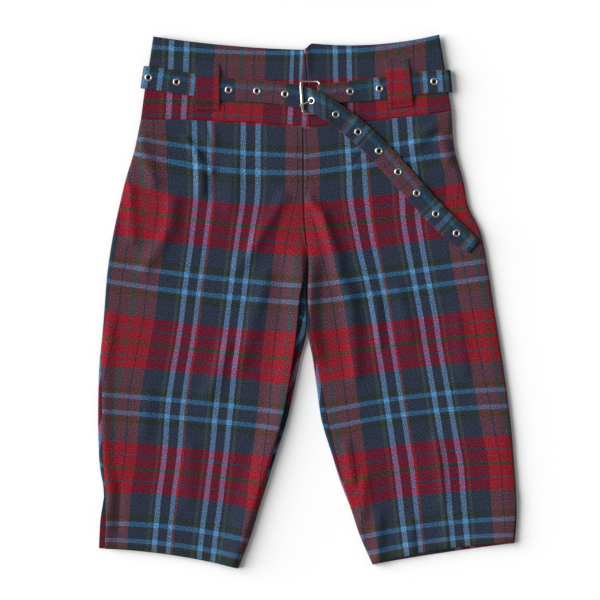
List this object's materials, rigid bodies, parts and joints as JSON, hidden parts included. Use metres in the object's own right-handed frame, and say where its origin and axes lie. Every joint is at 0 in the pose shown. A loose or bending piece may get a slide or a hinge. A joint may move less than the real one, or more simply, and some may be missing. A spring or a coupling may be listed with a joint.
{
  "type": "capri pants with belt",
  "caption": "Flat-laid tartan wool capri pants with a deep two-part waistband, an eyelet belt in a fastened square buckle, belt loops and slit hems.",
  "frame": {"origin": "on the surface under the middle of the garment's outline", "axes": "+Y towards the waist, +X towards the side of the belt's free end, +Z out of the front"},
  "size_m": [0.5441, 0.6929, 0.0185],
  "materials": {
    "tartan": "brushed wool twill in a navy, red and light blue tartan",
    "belt_tartan": "the same tartan wool, cut across the check",
    "metal": "polished nickel"
  },
  "bodies": {
    "root": {"belt_back": "belt_tartan", "belt_buckle_end": "belt_tartan", "belt_hinge_end": "belt_tartan", "belt_loop_back": "tartan", "belt_loop_front_left": "tartan", "belt_loop_front_right": "tartan", "buckle_frame": "metal", "buckle_prong": "metal", "buckle_roller": "metal", "eyelet_back_1": "metal", "eyelet_back_2": "metal", "eyelet_back_3": "metal", "eyelet_buckle_end_1": "metal", "eyelet_buckle_end_10": "metal", "eyelet_buckle_end_11": "metal", "eyelet_buckle_end_2": "metal", "eyelet_buckle_end_3": "metal", "eyelet_buckle_end_4": "metal", "eyelet_buckle_end_5": "metal", "eyelet_buckle_end_6": "metal", "eyelet_buckle_end_7": "metal", "eyelet_buckle_end_8": "metal", "eyelet_buckle_end_9": "metal", "eyelet_hinge_end_1": "metal", "eyelet_hinge_end_2": "metal", "leg_back_left": "tartan", "leg_back_right": "tartan", "leg_front_left": "tartan", "leg_front_right": "tartan", "waistband_back": "tartan", "waistband_front_left": "tartan", "waistband_front_right": "tartan"}
  },
  "joints": []
}
